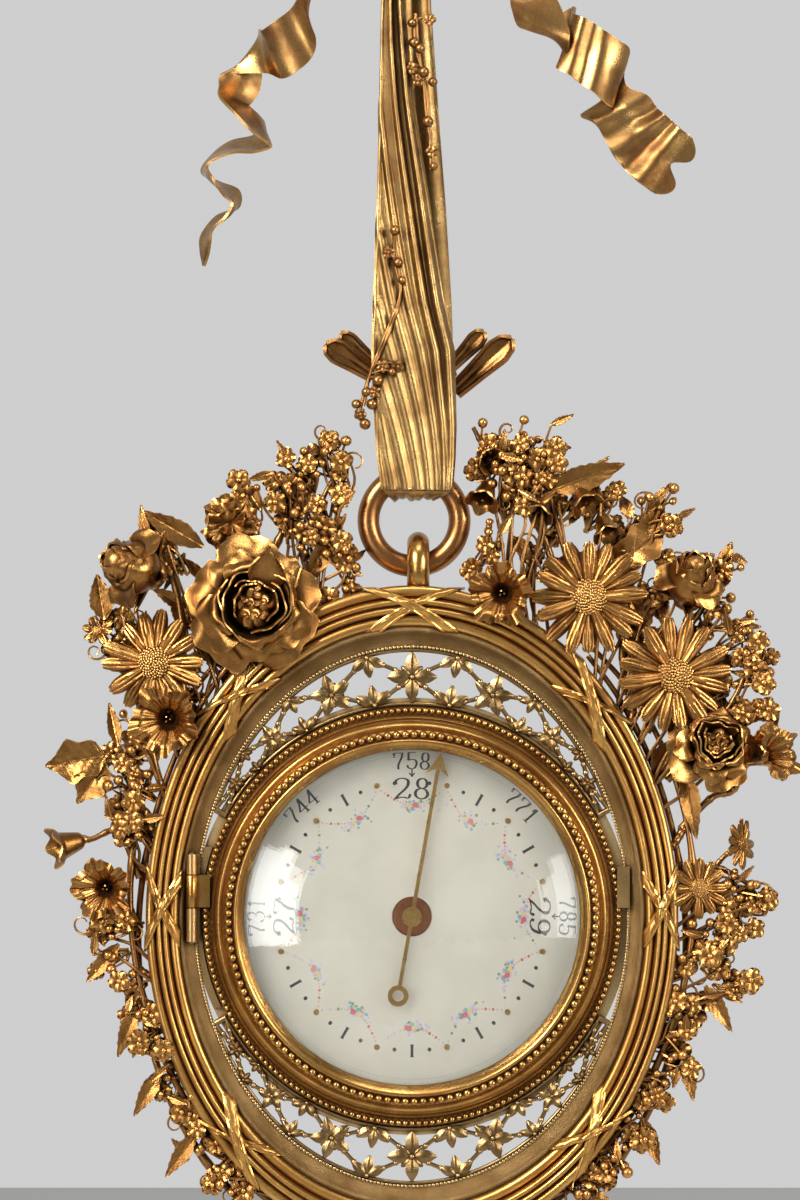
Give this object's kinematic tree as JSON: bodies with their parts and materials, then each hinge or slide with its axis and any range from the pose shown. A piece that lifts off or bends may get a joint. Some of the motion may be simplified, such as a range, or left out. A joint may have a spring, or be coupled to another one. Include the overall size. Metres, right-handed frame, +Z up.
{
  "type": "wall barometer",
  "caption": "Gilt bronze wall barometer: a glazed dial in an oval reeded frame with a flower wreath, hung by a ring from a ribbon bow and strap.",
  "frame": {"origin": "middle of the nail hole in the hanger plate, 1 mm in front of the wall", "axes": "+Z up the wall, +X to the viewer's right, -Y out of the wall towards the viewer"},
  "size_m": [0.2136, 0.0414, 0.419],
  "materials": {
    "gilt": "fire gilt, burnished and matt by turns",
    "old_gilt": "worn matt gilding over bronze",
    "bronze": "dull red bronze with traces of gilding",
    "brass": "turned brass",
    "steel": "polished steel",
    "enamel": "glossy ivory enamel",
    "copper": "brushed copper",
    "crystal": "clear, domed"
  },
  "bodies": {
    "suspension": {"hanger_plate": "bronze", "bow_knot": "gilt", "bow_loop_left": "gilt", "bow_loop_right": "gilt", "ribbon_tail_left": "gilt", "ribbon_tail_right": "gilt", "hanging_strap": "gilt", "cut_stems": "old_gilt", "strap_sprig": "old_gilt"},
    "ring": {"suspension_ring": "bronze"},
    "medallion": {"bail": "gilt", "reeded_frame": "gilt", "ribbon_ties": "gilt", "inner_band": "bronze", "fret_upper": "old_gilt", "fret_lower": "old_gilt", "hinge_plate": "bronze", "hinge_pin": "brass", "wreath_stems_left": "old_gilt", "wreath_stems_right": "old_gilt", "large_rose": "gilt", "side_rose": "gilt", "rosebuds": "gilt", "daisy_left": "gilt", "daisies_right": "gilt", "small_daisies": "gilt", "trumpet_flowers": "gilt", "carnation": "gilt", "bellflowers": "gilt", "wreath_leaves": "old_gilt", "blossom_twigs": "old_gilt", "blossoms_left": "old_gilt", "blossoms_right": "old_gilt", "case_drum": "brass", "back_cover": "brass", "cover_screws": "steel", "dial": "enamel", "dial_studs": "gilt", "dial_boss": "copper", "base_plate": "brass", "movement_pillars": "brass", "aneroid_capsule": "steel", "spring_bridge": "brass", "main_spring": "steel", "arbor_bridge": "brass", "rocker_cocks": "brass", "hairspring": "steel", "chain": "steel"},
    "bezel_door": {"bezel": "gilt", "crystal_glass": "crystal", "glass_retainer": "brass", "door_catch": "gilt"},
    "hand": {"pressure_hand": "gilt", "hand_arbor": "steel"},
    "rocker": {"rocker": "brass"},
    "main_lever": {"main_lever": "brass"},
    "adjust_screw": {"adjust_screw": "steel"}
  },
  "joints": [
    {"name": "ring_roll", "type": "hinge", "parent": "suspension", "child": "ring", "pos_m": [0.0006, -0.017, -0.1826], "axis": [0, 1, 0], "range_deg": [-4, 4]},
    {"name": "medallion_tilt", "type": "hinge", "parent": "ring", "child": "medallion", "pos_m": [0.0018, -0.017, -0.1957], "axis": [-1, 0, 0], "range_deg": [0, 10]},
    {"name": "bezel_door", "type": "hinge", "parent": "medallion", "child": "bezel_door", "pos_m": [-0.0629, -0.0258, -0.291], "axis": [0, 0, -1], "range_deg": [0, 105]},
    {"name": "hand_turn", "type": "hinge", "parent": "medallion", "child": "hand", "pos_m": [0, -0.0235, -0.296], "axis": [0, 1, 0], "range_deg": [-145, 125], "deforming": ["hairspring", "chain"]},
    {"name": "rocker_turn", "type": "hinge", "parent": "medallion", "child": "rocker", "pos_m": [-0.03, -0.0075, -0.296], "axis": [0, 0, 1], "range_deg": [-25, 25]},
    {"name": "lever_turn", "type": "hinge", "parent": "medallion", "child": "main_lever", "pos_m": [0.034, -0.0135, -0.296], "axis": [0, 0, 1], "range_deg": [-2, 2], "deforming": ["main_spring", "aneroid_capsule"]},
    {"name": "setting_turn", "type": "hinge", "parent": "medallion", "child": "adjust_screw", "pos_m": [0.028, -0.0005, -0.296], "axis": [0, 1, 0], "range_deg": [-180, 180]}
  ],
  "couplings": [
    {"joint": "rocker_turn", "follows": "hand_turn", "ratio": 0.16667},
    {"joint": "lever_turn", "follows": "hand_turn", "ratio": 0.0092593}
  ]
}
